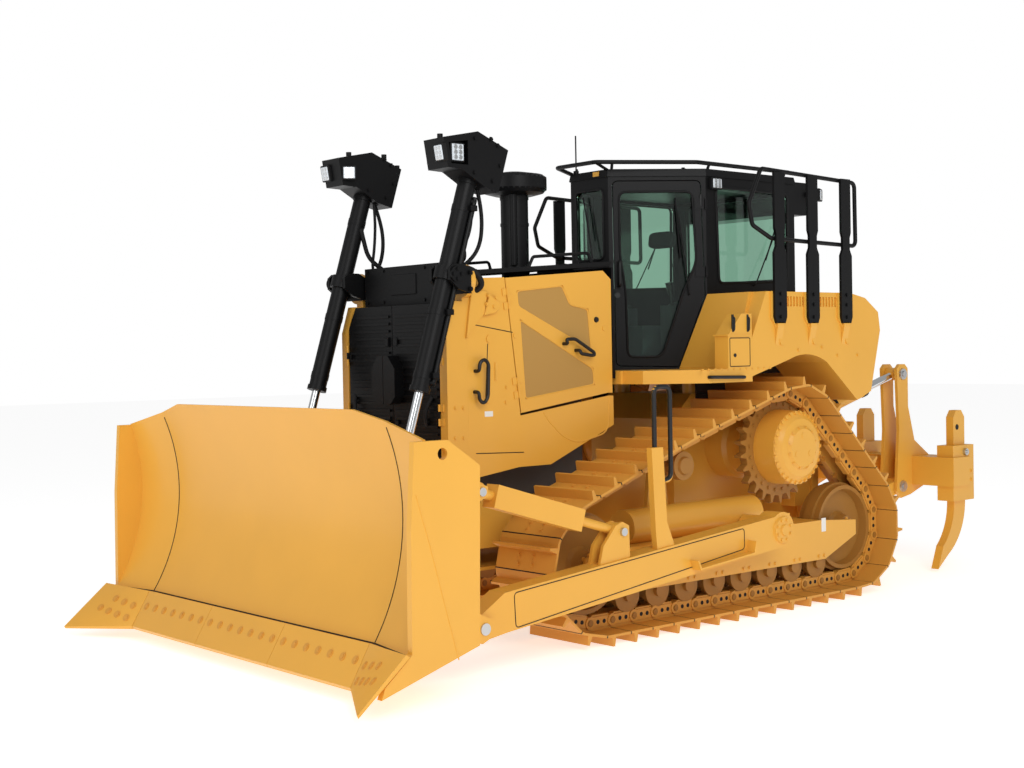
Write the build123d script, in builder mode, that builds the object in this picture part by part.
"""A crawler bulldozer with an elevated sprocket, a semi-U blade and a three-shank ripper.

Each piece is a solid in its own file.  Lengths are in millimetres.  x is measured
forward from the sprocket axis, y to the operator's left and z up from the ground.
"""
from build123d import *
from math import acos, atan2, cos, dist, hypot, pi, radians, sin
import os

os.makedirs("parts", exist_ok=True)

# ------------------------------------------------------------------ overall sizes
TIP_X = 4700              # front of the end bits
TAIL_X = -2733            # back of the ripper's shank pockets
ORIGIN_X = -(TIP_X + TAIL_X) / 2    # where the sprocket axis lies in the finished frame
FIT = 0.3                 # gap between seated pieces
PIN_FIT = 0.08            # radial clearance of a pin in its bore
PIN_GAP = 0.3             # half the end gap between hinge knuckles
RUNNING = 8               # gap between a moving panel and its neighbour
SAME_POINT = 0.5          # corners of an outline nearer than this are one

# track
GAUGE = 1981              # between the middles of the tracks
TRACK_Y = GAUGE / 2
SHOE_WIDTH = 610
PITCH = 216               # wished length of one link
SHOE_PLATE = 18
GROUSER = 65              # height of the bar across each shoe
LINK_ABOVE = 60           # pin line to the shoe
LINK_BELOW = 50           # pin line to the rail's running face
RAIL_NEAR = 50            # rail faces, from the track's middle
RAIL_FAR = 100
PIN_Z = GROUSER + SHOE_PLATE + LINK_ABOVE
SPROCKET_Z = 1266
SPROCKET_PIN_R = 430
SPROCKET_TEETH = 25
SPROCKET_WIDE = 70
DRIVE_END = TRACK_Y + SHOE_WIDTH / 2 - 3.5      # outer face of the final drive
IDLER_PIN_R = 412
IDLER_Z = PIN_Z + IDLER_PIN_R
FRONT_IDLER_X = 2190
REAR_IDLER_X = -760
CARRIER_X = 1180
CARRIER_Z = 1190
CARRIER_PIN_R = 160
ROLLER_R = 105
ROLLER_COUNT = 8
FIRST_ROLLER_X = -370
LAST_ROLLER_X = 1800

# hull
HOOD_Y = 640              # outer face of the nose and hood sides
NOSE_X = 3040             # front of the radiator guard
DOOR_POST_X = 1456        # front wall of the cab under the windscreen
HOOD_BACK_X = DOOR_POST_X + FIT
SKIN = 12                 # bonnet sheet
STACK_X = 1935
STACK_Y = 85
STACK_R = 105
CASE_Y = 480
RAIL_IN_Y = 330
RAIL_OUT_Y = 400
RAIL_LOW_Z = 650
RAIL_TOP_Z = 1000
EQUALIZER_X = 1670
EQUALIZER_Z = 590

# cab, seen from above: a narrow windscreen, slanted doors and straight rear sides
CAB_Y = 680
SCREEN_X = 1069
SCREEN_Y = 218
DOOR_END_X = 430          # where a slanted door wall meets the straight side
CAB_BACK_X = -680
CAB_FLOOR_Z = 1850
CAB_ROOF_Z = 3443
CAB_WALL = 50
DOOR_THICK = 45
GLASS = 8

# fenders
FENDER_Y = TRACK_Y + 259.5
DECK_Z = 1905
DECK_DEEP = 100

# blade
ARM_IN_Y = TRACK_Y + SHOE_WIDTH / 2 + 39.5      # the push arms run just outside the tracks
ARM_OUT_Y = ARM_IN_Y + 155
TRUNNION = (520, 680)
ARM_PIN = (3460, 335)
BLADE_HALF = 1900
SIDE_PLATE = 44
SEAM_Y = 1420
BOARD = 24
LIFT_Y = HOOD_Y - 4
LIFT_PIVOT = (3030, 2600)
LIFT_EYE = (3590, 790)
BARREL_R = 64
BARREL_BORE = BARREL_R - 14
ROD_R = 31

# ripper
LINK_PIVOT = (-1150, 540)
TILT_PIVOT = (-1150, 1500)
CARRIAGE_PIVOT = (-2229, 763)
TOWER_PIN = (-2240, 1798)
LIFT_EAR = (-1936, 1017)
RIPPER_LIFT_PIVOT = (-920, 1380)
TOWER_Y = 565
TOWER_GAP = 130
TOWER_PLATE = 30
SHANK_X = -2570
SHANK_Y = 1000
SHANK_HALF = 90           # half the shank's depth fore and aft
SHANK_THICK = 76
RIPPER_LIFT_Y = 292.5
RIPPER_PIN_R = 35
RIPPER_LIFT_PIN_R = 25


# --------------------------------------------------------------------- helpers
def side(y):
    """The plane of a side view at y, drawn in x from the sprocket axis and z."""
    return Plane(origin=(ORIGIN_X, y, 0), x_dir=(1, 0, 0), z_dir=(0, -1, 0))


def front(x):
    """The plane of a front view at x, drawn in y and z."""
    return Plane(origin=(ORIGIN_X + x, 0, 0), x_dir=(0, 1, 0), z_dir=(1, 0, 0))


def level(z):
    """The plane of a plan view at z, drawn in x from the sprocket axis and y."""
    return Plane(origin=(ORIGIN_X, 0, z), x_dir=(1, 0, 0), z_dir=(0, 0, 1))


def at(x, y, z):
    return Vector(ORIGIN_X + x, y, z)


def prism(plane, points, amount, mode=Mode.ADD):
    """Extrude a straight-edged outline from a plane."""
    with BuildSketch(plane) as outline:
        with BuildLine():
            Polyline(*points, close=True)
        make_face()
    extrude(outline.sketch, amount=amount, mode=mode)


def plate(points, y_low, y_high, mode=Mode.ADD):
    """A plate seen from the side, between two y stations."""
    prism(side(y_high), points, y_high - y_low, mode)


def wall(points, x_low, x_high, mode=Mode.ADD):
    """A plate seen from the front, between two x stations."""
    prism(front(x_low), points, x_high - x_low, mode)


def slab(points, z_low, z_high, mode=Mode.ADD):
    """A plate seen from above, between two heights."""
    prism(level(z_low), points, z_high - z_low, mode)


def block(x, y, z, mode=Mode.ADD):
    """A rectangular block between pairs of x, y and z stations."""
    corners = ((x[0], y[0]), (x[1], y[0]), (x[1], y[1]), (x[0], y[1]))
    slab(corners, z[0], z[1], mode)


def round_bar(start, end, radius, mode=Mode.ADD):
    """A round bar between two places."""
    run = end - start
    with BuildSketch(Plane(origin=start, z_dir=run)) as section:
        Circle(radius)
    extrude(section.sketch, amount=run.length, mode=mode)


def cross_pin(centre, radius, y_low, y_high, mode=Mode.ADD):
    """A round pin along y at an (x, z) centre."""
    round_bar(at(centre[0], y_low, centre[1]), at(centre[0], y_high, centre[1]), radius, mode)


def bent_tube(points, radius, bend):
    """A handrail tube along straight runs with rounded corners."""
    with BuildLine() as route:
        FilletPolyline(*points, radius=bend)
    with BuildSketch(Plane(origin=route.line @ 0, z_dir=route.line % 0)) as section:
        Circle(radius)
    sweep(section.sketch, path=route.line)


def turned(points, x, z, y=TRACK_Y):
    """Revolve a half profile of (offset along the axle, radius) about an axle along y."""
    centre = Plane(origin=at(x, y, z), x_dir=(0, 1, 0), z_dir=(1, 0, 0))
    with BuildSketch(centre) as half:
        with BuildLine():
            Polyline(*points, close=True)
        make_face()
    revolve(half.sketch, axis=Axis(centre.origin, (0, 1, 0)))


def both_sides():
    """Mirror what has been made to the other side of the machine."""
    mirror(about=Plane.XZ)


def to_right():
    """Turn a left-hand piece into its right-hand twin."""
    mirror(about=Plane.XZ, mode=Mode.REPLACE)


def save(piece, name):
    piece.part.label = name
    export_step(piece.part, f"parts/{name}.step")


# ----------------------------------------------------------------- track layout
# Wheels that the chain of links runs round, counter-clockwise seen from the left:
# (x, z, radius of the pin line)
CHAIN_WHEELS = (
    (REAR_IDLER_X, IDLER_Z, IDLER_PIN_R),
    (FRONT_IDLER_X, IDLER_Z, IDLER_PIN_R),
    (CARRIER_X, CARRIER_Z, CARRIER_PIN_R),
    (0, SPROCKET_Z, SPROCKET_PIN_R),
)


def tangent_angles():
    """For each wheel, the angle of the outward normal of the straight run to the next."""
    angles = []
    for here, there in zip(CHAIN_WHEELS, CHAIN_WHEELS[1:] + CHAIN_WHEELS[:1]):
        run_x, run_z = there[0] - here[0], there[1] - here[1]
        spread = acos((here[2] - there[2]) / hypot(run_x, run_z))
        angles.append(atan2(run_z, run_x) - spread)
    return angles


def chain_stretches():
    """Arcs and straight runs of the pin line as (length, place along it)."""
    leaving = tangent_angles()
    stretches = []
    for i, (x, z, r) in enumerate(CHAIN_WHEELS):
        start = leaving[i - 1]
        turn = (leaving[i] - start) % (2 * pi)

        def arc(s, x=x, z=z, r=r, start=start):
            return x + r * cos(start + s / r), z + r * sin(start + s / r)

        stretches.append((turn * r, arc))
        nx, nz, nr = CHAIN_WHEELS[(i + 1) % len(CHAIN_WHEELS)]
        a = (x + r * cos(leaving[i]), z + r * sin(leaving[i]))
        b = (nx + nr * cos(leaving[i]), nz + nr * sin(leaving[i]))
        run = hypot(b[0] - a[0], b[1] - a[1])

        def line(s, a=a, b=b, run=run):
            return a[0] + (b[0] - a[0]) * s / run, a[1] + (b[1] - a[1]) * s / run

        stretches.append((run, line))
    return stretches


def chain_pins():
    """Pins at equal steps along the pin line."""
    stretches = chain_stretches()
    total = sum(length for length, place in stretches)
    count = round(total / PITCH)
    pins = []
    for k in range(count):
        s = k * total / count
        for length, place in stretches:
            if s <= length:
                pins.append(place(s))
                break
            s -= length
    return pins


def link_points(shape):
    """Repeat a (share of the link, height over the pin line) shape on every link."""
    pins = chain_pins()
    points = []
    for a, b in zip(pins, pins[1:] + pins[:1]):
        tx, tz = b[0] - a[0], b[1] - a[1]
        step = hypot(tx, tz)
        for share, height in shape:
            point = (a[0] + tx * share + tz / step * height,
                     a[1] + tz * share - tx / step * height)
            if not points or dist(point, points[-1]) > SAME_POINT:
                points.append(point)
    return points if dist(points[0], points[-1]) > SAME_POINT else points[:-1]


def running_radius(x, z):
    """The largest wheel about (x, z) that runs on the rails without cutting into them."""
    pins = chain_pins()
    nearest = []
    for a, b in zip(pins, pins[1:] + pins[:1]):
        step = dist(a, b)
        along = ((x - a[0]) * (b[0] - a[0]) + (z - a[1]) * (b[1] - a[1])) / step ** 2
        along = min(max(along, 0), 1)
        nearest.append(dist((x, z), (a[0] + (b[0] - a[0]) * along, a[1] + (b[1] - a[1]) * along)))
    return min(nearest) - LINK_BELOW - FIT


# ---------------------------------------------------------------------- tracks
SHOE_TOP = LINK_ABOVE + SHOE_PLATE
SHOE_SHAPE = ((0, SHOE_TOP), (0.68, SHOE_TOP), (0.74, SHOE_TOP + GROUSER),
              (0.82, SHOE_TOP + GROUSER), (0.86, SHOE_TOP), (1, SHOE_TOP))
SHOE_SEAT = ((0, LINK_ABOVE), (1, LINK_ABOVE))
RAIL_SHAPE = ((0.14, -LINK_BELOW), (0.86, -LINK_BELOW), (0.98, -LINK_BELOW * 0.3))

for name, sign in (("track_left", 1), ("track_right", -1)):
    with BuildPart() as track:
        outer_y = TRACK_Y + SHOE_WIDTH / 2
        plate(link_points(SHOE_SHAPE), outer_y - SHOE_WIDTH, outer_y)
        plate(link_points(SHOE_SEAT), outer_y - SHOE_WIDTH, outer_y, Mode.SUBTRACT)
        for near, far in ((RAIL_NEAR, RAIL_FAR), (-RAIL_FAR, -RAIL_NEAR)):
            with BuildSketch(side(TRACK_Y + far)) as rail:
                with BuildLine():
                    Polyline(*link_points(SHOE_SEAT), close=True)
                make_face()
                with BuildLine():
                    Polyline(*link_points(RAIL_SHAPE), close=True)
                make_face(mode=Mode.SUBTRACT)
            extrude(rail.sketch, amount=far - near)
        if sign < 0:
            to_right()
    save(track, name)

# --------------------------------------------------------- sprockets and drives
TOOTH_ROOT = SPROCKET_PIN_R - 42
TOOTH_TIP = SPROCKET_PIN_R + 24
TOOTH_SHAPE = ((0.0, TOOTH_ROOT), (0.26, TOOTH_ROOT + 6), (0.42, TOOTH_TIP), (0.58, TOOTH_TIP),
               (0.74, TOOTH_ROOT + 6))
SPROCKET_BORE = 300
with BuildPart() as sprockets:
    rim = []
    for tooth in range(SPROCKET_TEETH):
        for share, r in TOOTH_SHAPE:
            turn = 2 * pi * (tooth + share) / SPROCKET_TEETH
            rim.append((r * cos(turn), SPROCKET_Z + r * sin(turn)))
    plate(rim, TRACK_Y - SPROCKET_WIDE / 2, TRACK_Y + SPROCKET_WIDE / 2)
    cross_pin((0, SPROCKET_Z), SPROCKET_BORE + FIT, 0, DRIVE_END, Mode.SUBTRACT)
    both_sides()
save(sprockets, "sprockets")

with BuildPart() as final_drives:
    turned(((CASE_Y - TRACK_Y, 0), (DRIVE_END - TRACK_Y, 0), (DRIVE_END - TRACK_Y, 150),
            (DRIVE_END - 22 - TRACK_Y, 175), (DRIVE_END - 30 - TRACK_Y, 230),
            (DRIVE_END - 55 - TRACK_Y, 262), (DRIVE_END - 70 - TRACK_Y, 290), (60, 300),
            (-60, 300), (-90, 280), (-120, 250), (-300, 240), (-330, 270), (CASE_Y - TRACK_Y, 270)),
           0, SPROCKET_Z)
    for turn in (90, 210, 330):
        boss = (95 * cos(radians(turn)), SPROCKET_Z + 95 * sin(radians(turn)))
        cross_pin(boss, 26, DRIVE_END, DRIVE_END + 3)
    both_sides()
save(final_drives, "final_drives")

# ------------------------------------------------------------ idlers and rollers
with BuildPart() as idlers:
    for x in (FRONT_IDLER_X, REAR_IDLER_X):
        tread = running_radius(x, IDLER_Z)
        turned(((-130, 0), (130, 0), (130, 95), (60, 110), (30, 130), (30, 300), (100, 315),
                (100, tread), (46, tread), (44, tread + 22), (-44, tread + 22),
                (-46, tread), (-100, tread), (-100, 315), (-30, 300), (-30, 130),
                (-60, 110), (-130, 95)), x, IDLER_Z)
    both_sides()
save(idlers, "idlers")

ROLLER_Z = PIN_Z + LINK_BELOW + ROLLER_R + FIT
ROLLER_STEP = (LAST_ROLLER_X - FIRST_ROLLER_X) / (ROLLER_COUNT - 1)
FRAME_CHEEK = 150
with BuildPart() as track_rollers:
    for i in range(ROLLER_COUNT):
        turned(((-FRAME_CHEEK, 0), (FRAME_CHEEK, 0), (FRAME_CHEEK, 45), (118, 45), (114, 122),
                (102, 122), (100, ROLLER_R), (50, ROLLER_R), (46, 84), (-46, 84),
                (-50, ROLLER_R), (-100, ROLLER_R), (-102, 122), (-114, 122), (-118, 45),
                (-FRAME_CHEEK, 45)), FIRST_ROLLER_X + i * ROLLER_STEP, ROLLER_Z)
    carrier_r = running_radius(CARRIER_X, CARRIER_Z)
    turned(((-170, 0), (130, 0), (130, 60), (112, 70), (110, carrier_r), (46, carrier_r),
            (44, 80), (-44, 80), (-46, carrier_r), (-110, carrier_r), (-112, 45), (-170, 45)),
           CARRIER_X, CARRIER_Z)
    both_sides()
save(track_rollers, "track_rollers")

# ----------------------------------------------------------------- roller frames
BEAM_LOW_Z = 440
BEAM_TOP_Z = 650
BEAM_BACK_X = REAR_IDLER_X + 400
BEAM_FRONT_X = FRONT_IDLER_X - 400
CHEEK = 22
RECOIL_R = 130
TUBE_Z = BEAM_TOP_Z + RECOIL_R - 10
with BuildPart() as roller_frames:
    cheek_out = TRACK_Y + FRAME_CHEEK + CHEEK
    cheek_in = TRACK_Y - FRAME_CHEEK - CHEEK
    block((BEAM_BACK_X, BEAM_FRONT_X), (cheek_in, cheek_out), (BEAM_LOW_Z, BEAM_TOP_Z))
    fork = ((REAR_IDLER_X - 70, IDLER_Z - 60), (BEAM_BACK_X - 60, 330), (BEAM_FRONT_X + 40, 330),
            (FRONT_IDLER_X + 70, IDLER_Z - 60), (FRONT_IDLER_X + 70, IDLER_Z + 60),
            (BEAM_FRONT_X, BEAM_TOP_Z), (BEAM_BACK_X, BEAM_TOP_Z), (REAR_IDLER_X - 70, IDLER_Z + 60))
    plate(fork, cheek_in, TRACK_Y - FRAME_CHEEK)
    plate(fork, TRACK_Y + FRAME_CHEEK, cheek_out)
    for x in (FRONT_IDLER_X, REAR_IDLER_X):
        cross_pin((x, IDLER_Z), 60, TRACK_Y - FRAME_CHEEK, TRACK_Y - 130)
        cross_pin((x, IDLER_Z), 60, TRACK_Y + 130, TRACK_Y + FRAME_CHEEK)
    # trunnion of the push arm
    cross_pin(TRUNNION, 95, TRACK_Y + 135, ARM_IN_Y - 30)
    cross_pin(TRUNNION, 70, ARM_IN_Y - 30, ARM_OUT_Y - 10)
    # stand of the carrier roller
    plate(((CARRIER_X - 150, BEAM_TOP_Z), (CARRIER_X + 150, BEAM_TOP_Z),
           (CARRIER_X + 60, CARRIER_Z + 55), (CARRIER_X - 60, CARRIER_Z + 55)),
          TRACK_Y - 210, TRACK_Y - 170)
    # recoil spring housing on the beam
    round_bar(at(300, TRACK_Y, TUBE_Z), at(BEAM_FRONT_X - 60, TRACK_Y, TUBE_Z), RECOIL_R)
    round_bar(at(270, TRACK_Y, TUBE_Z), at(300, TRACK_Y, TUBE_Z), RECOIL_R - 30)
    both_sides()
save(roller_frames, "roller_frames")

# -------------------------------------------------------------------- main frame
with BuildPart() as main_frame:
    rail_outline = ((640, RAIL_LOW_Z), (2960, RAIL_LOW_Z), (2960, RAIL_TOP_Z),
                    (1300, RAIL_TOP_Z), (900, 1100), (640, 1100))
    plate(rail_outline, RAIL_IN_Y, RAIL_OUT_Y)
    both_sides()
    block((2780, 2960), (-RAIL_IN_Y, RAIL_IN_Y), (RAIL_LOW_Z, RAIL_TOP_Z))
    plate(((600, 560), (640, 490), (2700, 490), (2960, 600), (2960, RAIL_LOW_Z),
           (2900, RAIL_LOW_Z), (2690, 515), (655, 515), (630, 560)), -RAIL_OUT_Y, RAIL_OUT_Y)
    for x in (EQUALIZER_X - 105, EQUALIZER_X + 75):
        wall(((-RAIL_IN_Y, 900), (-RAIL_IN_Y, RAIL_LOW_Z), (-110, 530), (110, 530),
              (RAIL_IN_Y, RAIL_LOW_Z), (RAIL_IN_Y, 900)), x, x + 30)
    round_bar(at(EQUALIZER_X - 105, 0, EQUALIZER_Z), at(EQUALIZER_X + 105, 0, EQUALIZER_Z),
              40 + PIN_FIT, Mode.SUBTRACT)
save(main_frame, "main_frame")

with BuildPart() as tow_hook:
    plate(((2960, 640), (3090, 640), (3110, 670), (3110, 800), (3090, 830), (2960, 830)), -90, 90)
    plate(((2990, 690), (3120, 690), (3120, 780), (2990, 780)), -45, 45, Mode.SUBTRACT)
    round_bar(at(3055, 0, 640), at(3055, 0, 830), 27, Mode.SUBTRACT)
    round_bar(at(3055, 0, 630), at(3055, 0, 845), 27 - PIN_FIT)
    round_bar(at(3055, 0, 830 + FIT), at(3055, 0, 850), 42)
save(tow_hook, "tow_hook")

EQUALIZER_END_Y = TRACK_Y - 115.5      # the bar's ends rest on the roller frames
EQUALIZER_HALF = ((EQUALIZER_END_Y - 175, 635), (EQUALIZER_END_Y - 75, BEAM_TOP_Z + 45),
                  (EQUALIZER_END_Y, BEAM_TOP_Z + 45), (EQUALIZER_END_Y, BEAM_TOP_Z + FIT),
                  (EQUALIZER_END_Y - 63, BEAM_TOP_Z + FIT), (EQUALIZER_END_Y - 115, 545))
with BuildPart() as cross_shafts:
    other_half = tuple((-y, z) for y, z in reversed(EQUALIZER_HALF))
    wall(EQUALIZER_HALF + other_half, EQUALIZER_X - 70, EQUALIZER_X + 70)
    round_bar(at(EQUALIZER_X - 105, 0, EQUALIZER_Z), at(EQUALIZER_X + 105, 0, EQUALIZER_Z), 40)
    for y in (CASE_Y, -cheek_in):
        cross_pin((500, 640), 80, y, y + cheek_in - CASE_Y)
save(cross_shafts, "cross_shafts")

CASE_TOP_Z = 1700
with BuildPart() as rear_case:
    plate(((-640, 620), (-460, 560), (640, 560), (640, 1500), (420, CASE_TOP_Z), (-420, CASE_TOP_Z),
           (-640, 1500)), -CASE_Y, CASE_Y)
    for x in (-340, 340):
        for y in (-400, 400):
            round_bar(at(x, y, CASE_TOP_Z - 10), at(x, y, CAB_FLOOR_Z - FIT), 70)
save(rear_case, "rear_case")

with BuildPart() as engine_block:
    block((1480, 2560), (-310, 310), (RAIL_TOP_Z, 2250))
    for x in (1600, 2300):
        block((x, x + 140), (-RAIL_OUT_Y, RAIL_OUT_Y), (RAIL_TOP_Z + FIT, RAIL_TOP_Z + 60))
save(engine_block, "engine_block")

# ------------------------------------------------------------ nose and bonnet
NOSE_TOP_Z = 2612
NOSE_LOW_Z = 1180
NOSE_CHAMFER_Z = 2222
GRILLE_LOW_Z = 1460
GRILLE_TOP_Z = 2410
COLUMN_IN_Y = HOOD_Y - 80
SEAM_TOP = (2505, 2620)
SEAM_LOW = (2376, 1615)
EAR_Z = 2560
EAR_R = 115
EAR_X = 2900              # front face of the ears
STUB_R = 75
# The doors turn about round knuckles outside the sheet, over the sloping front seam.
KNUCKLE_R = 8
HINGE_PART = 50
HINGE_STARTS = (120, 760)
SEAM_RUN = dist(SEAM_LOW, SEAM_TOP)


def seam_hinge(low, high, forward):
    """A knuckle on the seam with its leaf forward of it (1) or behind it (-1)."""
    lean = (SEAM_TOP[0] - SEAM_LOW[0]) / SEAM_RUN
    rise = (SEAM_TOP[1] - SEAM_LOW[1]) / SEAM_RUN
    ends = []
    for along in (low + PIN_GAP, high - PIN_GAP):
        ends.append((SEAM_LOW[0] + RUNNING / 2 + along * lean, SEAM_LOW[1] + along * rise))
    round_bar(at(ends[0][0], HOOD_Y + KNUCKLE_R, ends[0][1]),
              at(ends[1][0], HOOD_Y + KNUCKLE_R, ends[1][1]), KNUCKLE_R - FIT)

    def beside(end, away):
        """A place square to the seam, forward of a knuckle's end or behind it."""
        return end[0] + away * forward * rise, end[1] - away * forward * lean

    for near, y_low in ((0, HOOD_Y + FIT), (RUNNING / 2 + FIT, HOOD_Y - 1)):
        plate((beside(ends[0], near), beside(ends[1], near), beside(ends[1], 45),
               beside(ends[0], 45)), y_low, HOOD_Y + 7)


GRILLE_HINGE_Z = (1560, 1980)
GRILLE_AXIS_Y = COLUMN_IN_Y - 5
GRILLE_EDGE_Y = COLUMN_IN_Y - 10


def grille_hinge(low, high, outward):
    """A knuckle of a grille door with its leaf on the column (1) or on the door (-1)."""
    centre_x = NOSE_X + KNUCKLE_R
    round_bar(at(centre_x, GRILLE_AXIS_Y, low + PIN_GAP), at(centre_x, GRILLE_AXIS_Y, high - PIN_GAP),
              KNUCKLE_R - FIT)
    near = GRILLE_AXIS_Y + 5.3 * outward
    ends = sorted((near, GRILLE_AXIS_Y + 45 * outward))
    block((NOSE_X - 6, centre_x - 1), ends, (low + PIN_GAP, high - PIN_GAP))
    ends = sorted((GRILLE_AXIS_Y, near))
    block((NOSE_X + FIT, centre_x - 1), ends, (low + PIN_GAP, high - PIN_GAP))


with BuildPart() as radiator_guard:
    plate(((2860, RAIL_LOW_Z), (2960, RAIL_LOW_Z), (NOSE_X, 760), (NOSE_X, NOSE_CHAMFER_Z),
           (2920, NOSE_TOP_Z), (2860, NOSE_TOP_Z)), COLUMN_IN_Y, HOOD_Y)
    plate(((2860, RAIL_LOW_Z), (2960, RAIL_LOW_Z), (2960, RAIL_TOP_Z), (2860, RAIL_TOP_Z)),
          RAIL_OUT_Y, COLUMN_IN_Y)
    with BuildSketch(front(2860)) as ear:
        with Locations((LIFT_Y, EAR_Z)):
            Circle(EAR_R)
            Circle(STUB_R + FIT, mode=Mode.SUBTRACT)
    round_bar(at(2800, LIFT_Y, EAR_Z), at(2960, LIFT_Y, EAR_Z), STUB_R + FIT, Mode.SUBTRACT)
    block((EAR_X, 3000), (LIFT_Y - EAR_R, LIFT_Y + EAR_R), (EAR_Z - 140, 2700), Mode.SUBTRACT)
    extrude(ear.sketch, amount=EAR_X - 2860)
    for z in GRILLE_HINGE_Z:
        grille_hinge(z, z + HINGE_PART, 1)
        grille_hinge(z + 2 * HINGE_PART, z + 3 * HINGE_PART, 1)
    both_sides()
    block((2860, 2960), (-COLUMN_IN_Y, COLUMN_IN_Y), (RAIL_TOP_Z + FIT, RAIL_TOP_Z + 120))
save(radiator_guard, "radiator_guard")

with BuildPart() as radiator_core:
    block((2700, 2845), (-COLUMN_IN_Y + 5, COLUMN_IN_Y - 5), (RAIL_TOP_Z + FIT, 2400))
save(radiator_core, "radiator_core")

# hood: sloping black top and fixed side sheets in front of and under the doors
HOOD_TOP_FRONT_Z = 2625
HOOD_TOP_BACK_Z = 2705
CAP_Y = COLUMN_IN_Y - 70     # half width of the front cap
HOOD_RAIL = ((2245, 2665), (2195, 2752), (1645, 2797), (1620, 2712))
HOOD_RAIL_R = 12
with BuildPart() as hood_top:
    plate(((HOOD_BACK_X, HOOD_TOP_BACK_Z - 4), (2860, HOOD_TOP_FRONT_Z - 22),
           (2860, HOOD_TOP_FRONT_Z + 10), (HOOD_BACK_X, HOOD_TOP_BACK_Z + 30)),
          -HOOD_Y, HOOD_Y)
    block((2850, 2925), (-CAP_Y, CAP_Y), (GRILLE_TOP_Z + RUNNING, 2700))
    round_bar(at(STACK_X, STACK_Y, 2500), at(STACK_X, STACK_Y, 2900), STACK_R + FIT, Mode.SUBTRACT)
    for y in (50 - HOOD_Y, HOOD_Y - 50):
        bent_tube([at(x, y, z) for x, z in HOOD_RAIL], HOOD_RAIL_R, 30)
save(hood_top, "hood_top")

with BuildPart() as hood_sides:
    plate(((SEAM_TOP[0] + RUNNING, 2594), (SEAM_LOW[0] + RUNNING, SEAM_LOW[1] - 8),
           (1500, 1722), (HOOD_BACK_X, 1720), (HOOD_BACK_X, 1500), (2100, 1240),
           (2400, 1240), (2860 - FIT, 1180), (2860 - FIT, 2580)), HOOD_Y - SKIN, HOOD_Y)
    for low in HINGE_STARTS:
        seam_hinge(low, low + HINGE_PART, 1)
        seam_hinge(low + 2 * HINGE_PART, low + 3 * HINGE_PART, 1)
    both_sides()
save(hood_sides, "hood_sides")

# engine doors, hinged along the sloping front seam, with two sunk panels of wire mesh
MESH_PANELS = (((2400, 2503), (1954, 2547), (1877, 2408), (1700, 2377), (1670, 2059), (2389, 2393)),
               ((2375, 2299), (1657, 1933), (1645, 1806), (2336, 1720)))
MESH_SUNK = 7
DOOR_OUTLINE = ((HOOD_BACK_X + RUNNING, 1742), (1512, 1744), (SEAM_LOW[0], SEAM_LOW[1] + 10),
                (SEAM_TOP[0], 2590), (HOOD_BACK_X + 90, 2664), (HOOD_BACK_X + RUNNING, 2600))
for name, sign in (("engine_door_left", 1), ("engine_door_right", -1)):
    with BuildPart() as door:
        plate(DOOR_OUTLINE, HOOD_Y - 30, HOOD_Y)
        for panel in MESH_PANELS:
            plate(panel, HOOD_Y - MESH_SUNK, HOOD_Y, Mode.SUBTRACT)
        for low in HINGE_STARTS:
            seam_hinge(low + HINGE_PART, low + 2 * HINGE_PART, -1)
        if sign < 0:
            to_right()
    save(door, name)

# grille doors with half of the guard box on each
for name, sign in (("grille_door_left", 1), ("grille_door_right", -1)):
    with BuildPart() as leaf:
        wall(((3, GRILLE_LOW_Z), (GRILLE_EDGE_Y, GRILLE_LOW_Z), (GRILLE_EDGE_Y, 2260),
              (GRILLE_EDGE_Y - 90, GRILLE_TOP_Z), (3, GRILLE_TOP_Z)), NOSE_X - 35, NOSE_X - 5)
        wall(((3, 1708), (90, 1708), (140, 1760), (140, 1960), (60, 2050), (3, 2050)),
             NOSE_X - 5, NOSE_X + 85)
        for z in GRILLE_HINGE_Z:
            grille_hinge(z + HINGE_PART, z + 2 * HINGE_PART, -1)
        if sign < 0:
            to_right()
    save(leaf, name)

with BuildPart() as lower_grille:
    wall(((-COLUMN_IN_Y + FIT, RAIL_TOP_Z + 130), (COLUMN_IN_Y - FIT, RAIL_TOP_Z + 130),
          (COLUMN_IN_Y - FIT, GRILLE_LOW_Z - RUNNING), (-COLUMN_IN_Y + FIT, GRILLE_LOW_Z - RUNNING)),
         NOSE_X - 60, NOSE_X - 30)
save(lower_grille, "lower_grille")

# -------------------------------------------------------- exhaust and air intake
STACK_TOP_Z = 3250
with BuildPart() as exhaust_stack:
    round_bar(at(STACK_X, STACK_Y, 2600), at(STACK_X, STACK_Y, STACK_TOP_Z), STACK_R)
    slim = at(STACK_X + 0.7 * (STACK_R + 22), STACK_Y + 0.7 * (STACK_R + 22), 2720)
    round_bar(slim, slim + Vector(0, 0, STACK_TOP_Z - 2720), 30)
save(exhaust_stack, "exhaust_stack")

with BuildPart() as precleaner:
    with BuildSketch(Plane(origin=at(STACK_X, STACK_Y, STACK_TOP_Z + FIT), x_dir=(1, 0, 0),
                           z_dir=(0, -1, 0))) as half:
        with BuildLine():
            Polyline((0, 0), (150, 0), (225, 20), (250, 50), (250, 130), (225, 155),
                     (90, 178), (0, 180), close=True)
        make_face()
    revolve(half.sketch, axis=Axis(at(STACK_X, STACK_Y, 0), (0, 0, 1)))
save(precleaner, "precleaner")

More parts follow.
